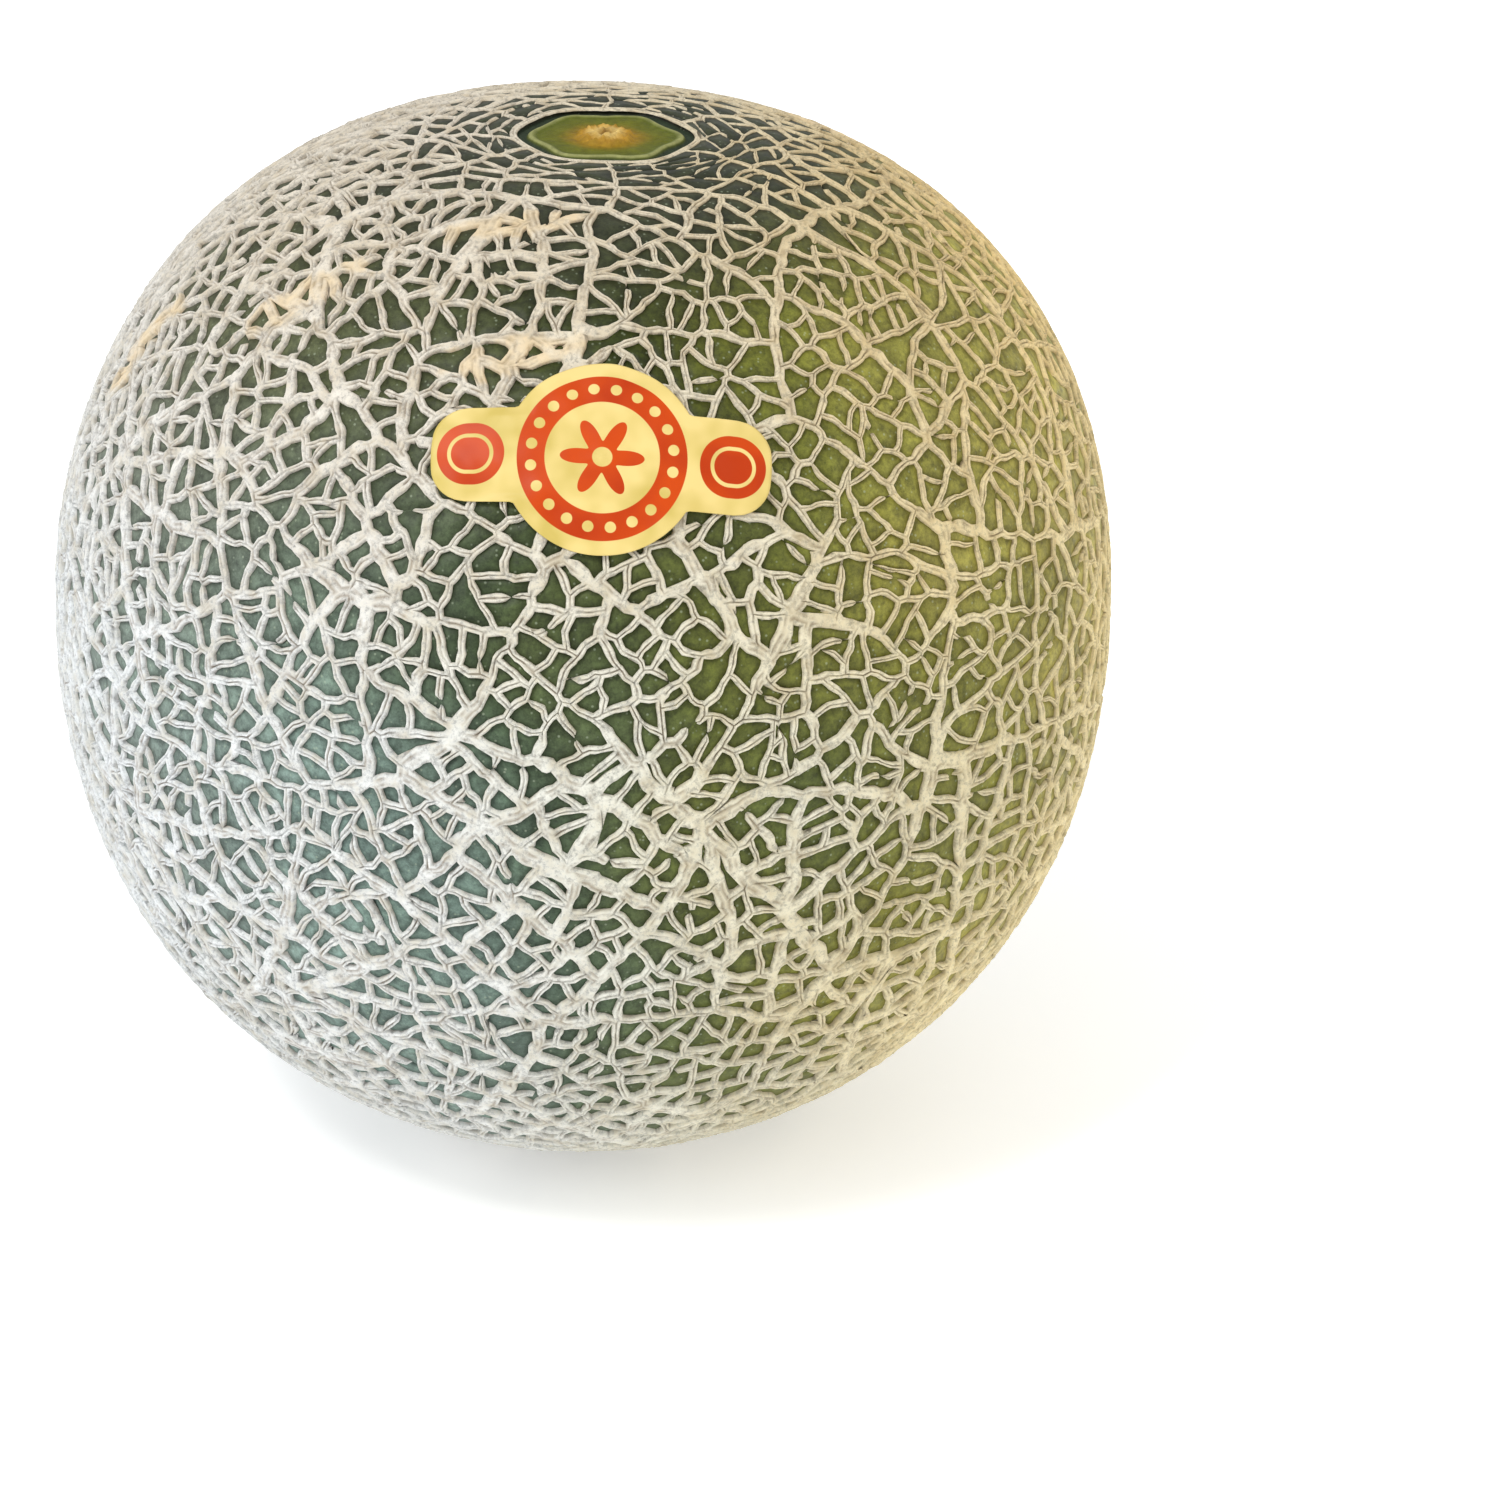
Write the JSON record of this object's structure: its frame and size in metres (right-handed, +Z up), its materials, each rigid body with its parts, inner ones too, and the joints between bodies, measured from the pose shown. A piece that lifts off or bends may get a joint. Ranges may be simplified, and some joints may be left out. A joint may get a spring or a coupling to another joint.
{
  "type": "muskmelon",
  "caption": "Whole ripe netted muskmelon with a raised corky net over grey-green skin, a sunken stem scar on top, a small flat resting spot and a plain sticker.",
  "frame": {"origin": "on the resting face, under the middle of the fruit", "axes": "+Z up through the stem end, -Y towards the sticker, +X to the right as seen from the sticker's side"},
  "size_m": [0.1502, 0.1502, 0.1486],
  "materials": {
    "melon": "matte",
    "label": "gloss"
  },
  "bodies": {
    "root": {"melon": "melon", "label": "label"}
  },
  "joints": []
}
